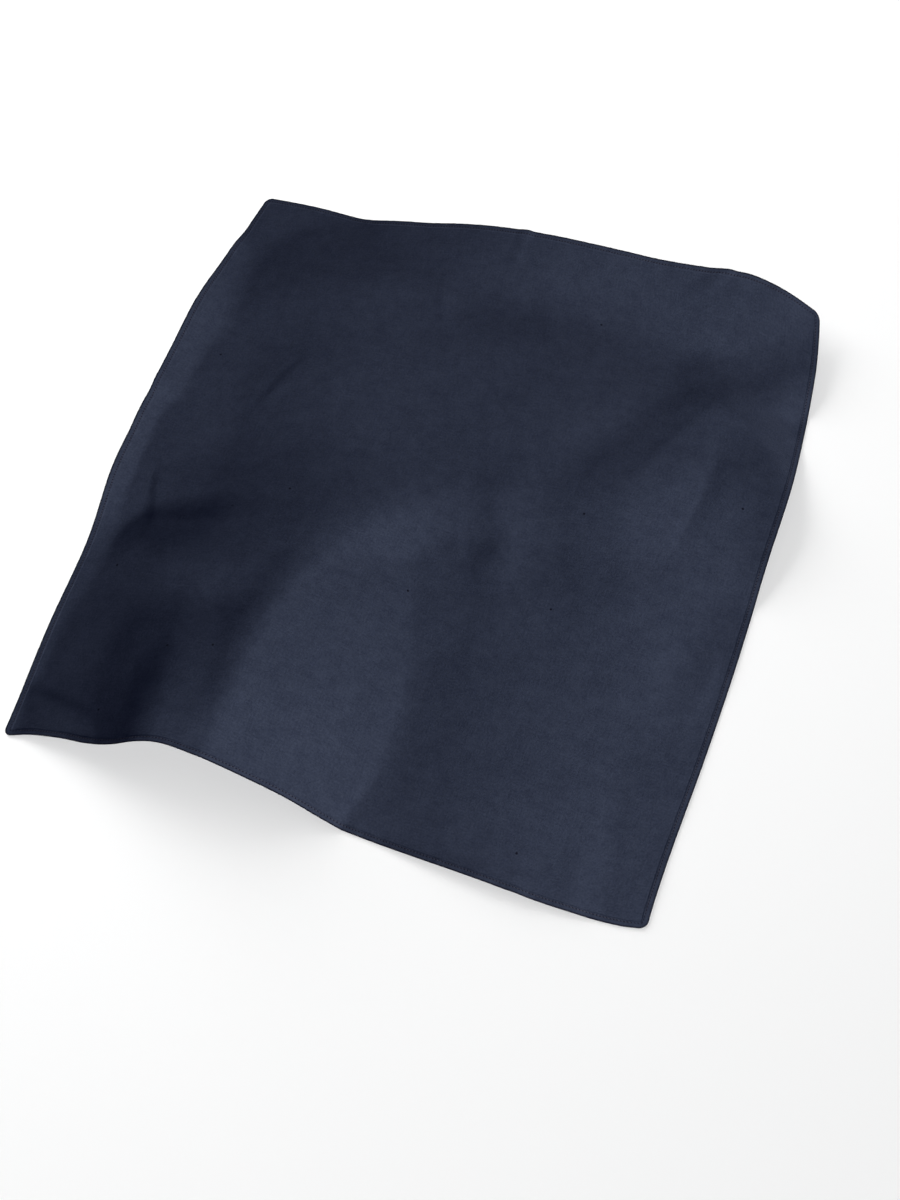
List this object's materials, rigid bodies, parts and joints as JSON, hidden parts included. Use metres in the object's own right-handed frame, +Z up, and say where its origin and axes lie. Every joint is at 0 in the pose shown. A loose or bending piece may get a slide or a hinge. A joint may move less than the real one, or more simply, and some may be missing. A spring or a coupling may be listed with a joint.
{
  "type": "bandana",
  "caption": "Plain square cotton bandana with narrow turned hems, laid loosely on a surface in soft folds.",
  "frame": {"origin": "on the surface that the cloth lies on, under the middle of its bounding box", "axes": "+Z up; +X along the near hem, from the near left corner to the near right corner; +Y towards the far hem"},
  "size_m": [0.5592, 0.5822, 0.0513],
  "materials": {
    "cotton": "matte plain-weave cotton, dark navy",
    "cotton_hem": "matte plain-weave cotton, three layers, dark navy"
  },
  "bodies": {
    "root": {"panel": "cotton", "hem_near": "cotton_hem", "hem_right": "cotton_hem", "hem_far": "cotton_hem", "hem_left": "cotton_hem"}
  },
  "joints": []
}
